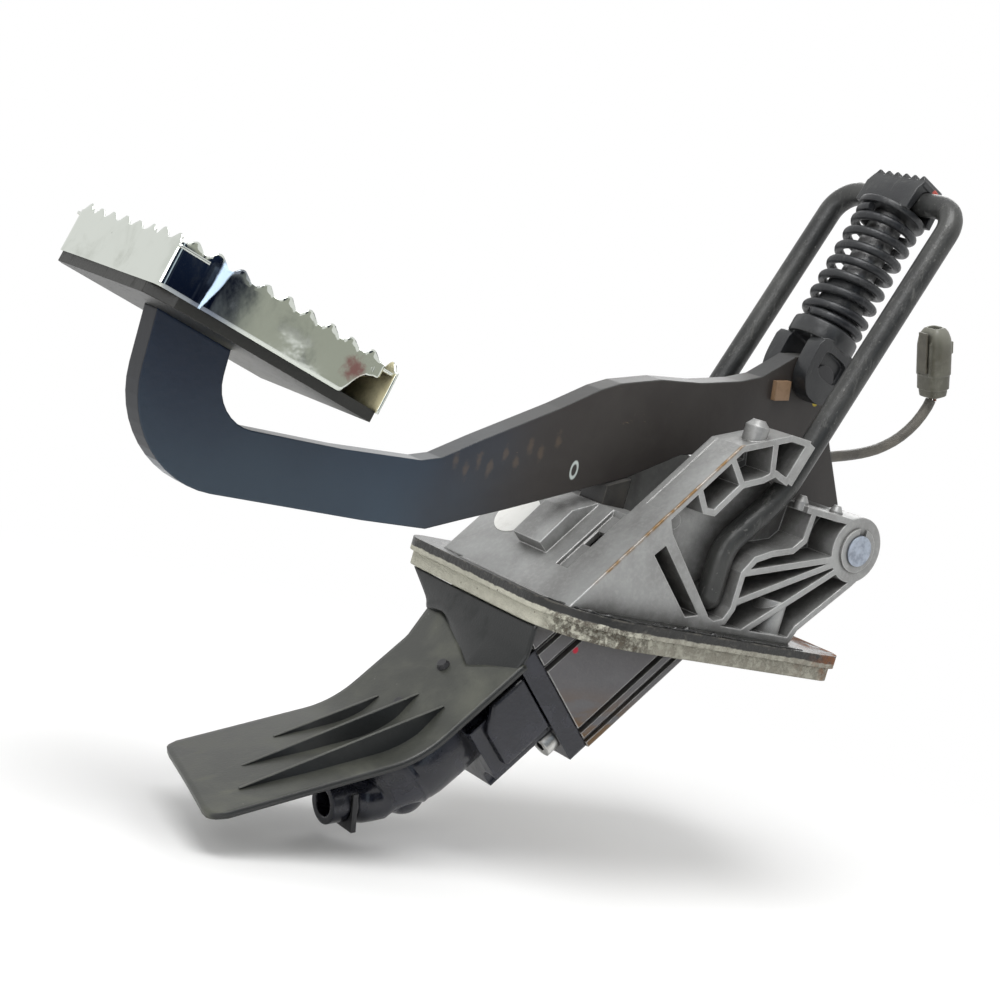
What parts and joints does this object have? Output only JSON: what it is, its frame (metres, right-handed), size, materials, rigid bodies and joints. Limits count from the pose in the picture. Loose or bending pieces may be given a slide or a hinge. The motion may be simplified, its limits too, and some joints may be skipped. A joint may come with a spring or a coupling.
{
  "type": "clutch pedal",
  "caption": "Clutch pedal assembly: cast pedal box, hooked arm with chromed pad, over-centre spring on a wire bail, master cylinder, shield and switch lead.",
  "frame": {"origin": "centre of the four mounting bolts, on the gasket face that lies against the bulkhead", "axes": "+Z out of the mounting face into the cab; +X along the pattern towards the pivot; +Y across the pedal, away from the side that the picture shows"},
  "size_m": [0.5277, 0.144, 0.3759],
  "materials": {
    "cast_box": "as cast, slightly dirty",
    "black_steel": "black paint, rusty edges",
    "foam": "worn foam, dirty",
    "zinc_steel": "zinc plated",
    "sticker": "bare paper sticker",
    "arm_paint": "blue-black paint, scuffed",
    "bronze": "bare bronze",
    "pad_base": "dark olive paint",
    "pad_chrome": "bright chromed sheet with dents",
    "pin_steel": "bare steel",
    "dark_steel": "black phosphate",
    "black_rod": "satin black, worn",
    "spring_steel": "satin black-grey",
    "tan_nylon": "tan plastic",
    "black_nylon": "black moulded plastic",
    "piston_metal": "machined",
    "black_rubber": "black rubber",
    "shield_plastic": "dark olive-grey plastic",
    "switch_plastic": "black plastic",
    "white_plastic": "natural plastic",
    "lead_sheath": "black sheath",
    "wire_brown": "brown insulation"
  },
  "bodies": {
    "base": {"housing": "cast_box", "mount_plate": "black_steel", "flange_gasket": "foam", "plate_screws": "zinc_steel", "wall_label": "sticker", "pivot_pin": "pin_steel", "pin_clip": "dark_steel", "assist_bail": "black_rod", "cylinder_body": "black_nylon", "cylinder_screws": "zinc_steel", "stop_ring": "dark_steel", "port_clip": "zinc_steel", "pushrod_boot": "black_rubber", "splash_shield": "shield_plastic", "shield_screws": "zinc_steel", "stop_bumper": "black_rubber", "clutch_switch": "switch_plastic", "switch_nut": "zinc_steel", "switch_lead": "lead_sheath", "connector_body": "switch_plastic", "connector_latch": "switch_plastic", "connector_wires": "wire_brown"},
    "pedal": {"pedal_arm": "arm_paint", "arm_bushes": "bronze", "pad_plate": "pad_base", "pad_cover": "pad_chrome", "nose_pin": "zinc_steel", "wear_pad": "tan_nylon", "clevis_pin": "zinc_steel", "clevis_clip": "dark_steel"},
    "spring_upper": {"spring_seat": "dark_steel", "guide_rod": "pin_steel", "assist_spring": "spring_steel"},
    "spring_lower": {"spring_guide": "dark_steel"},
    "pushrod": {"pushrod": "pin_steel"},
    "piston": {"piston": "piston_metal", "piston_seal": "black_rubber"},
    "plunger": {"switch_plunger": "white_plastic"}
  },
  "joints": [
    {"name": "pedal_swing", "type": "hinge", "parent": "base", "child": "pedal", "pos_m": [0.092, 0, 0.067], "axis": [0, 1, 0], "range_deg": [0, 28]},
    {"name": "spring_swing", "type": "hinge", "parent": "base", "child": "spring_upper", "pos_m": [0.1035, 0, 0.246], "axis": [0, 1, 0], "range_deg": [-21.6, 0], "deforming": ["assist_spring"]},
    {"name": "guide_swing", "type": "hinge", "parent": "pedal", "child": "spring_lower", "pos_m": [0.071, 0, 0.145], "axis": [0, 1, 0], "range_deg": [-49.6, 0]},
    {"name": "pushrod_swing", "type": "hinge", "parent": "pedal", "child": "pushrod", "pos_m": [0.04563, 0, 0.09114], "axis": [0, 1, 0], "range_deg": [-28, 0]},
    {"name": "piston_slide", "type": "slide", "parent": "base", "child": "piston", "axis": [0.6626, 0, 0.749], "range_m": [0, 0.0254]},
    {"name": "plunger_slide", "type": "slide", "parent": "base", "child": "plunger", "axis": [0.9703, 0, -0.2419], "range_m": [0, 0.004], "stiffness_N_per_m": 50}
  ],
  "couplings": [
    {"joint": "spring_swing", "follows": "pedal_swing", "ratio": -0.771},
    {"joint": "guide_swing", "follows": "pedal_swing", "ratio": -1.771},
    {"joint": "pushrod_swing", "follows": "pedal_swing", "ratio": -1},
    {"joint": "piston_slide", "follows": "pedal_swing", "m_per_rad": 0.0518}
  ]
}
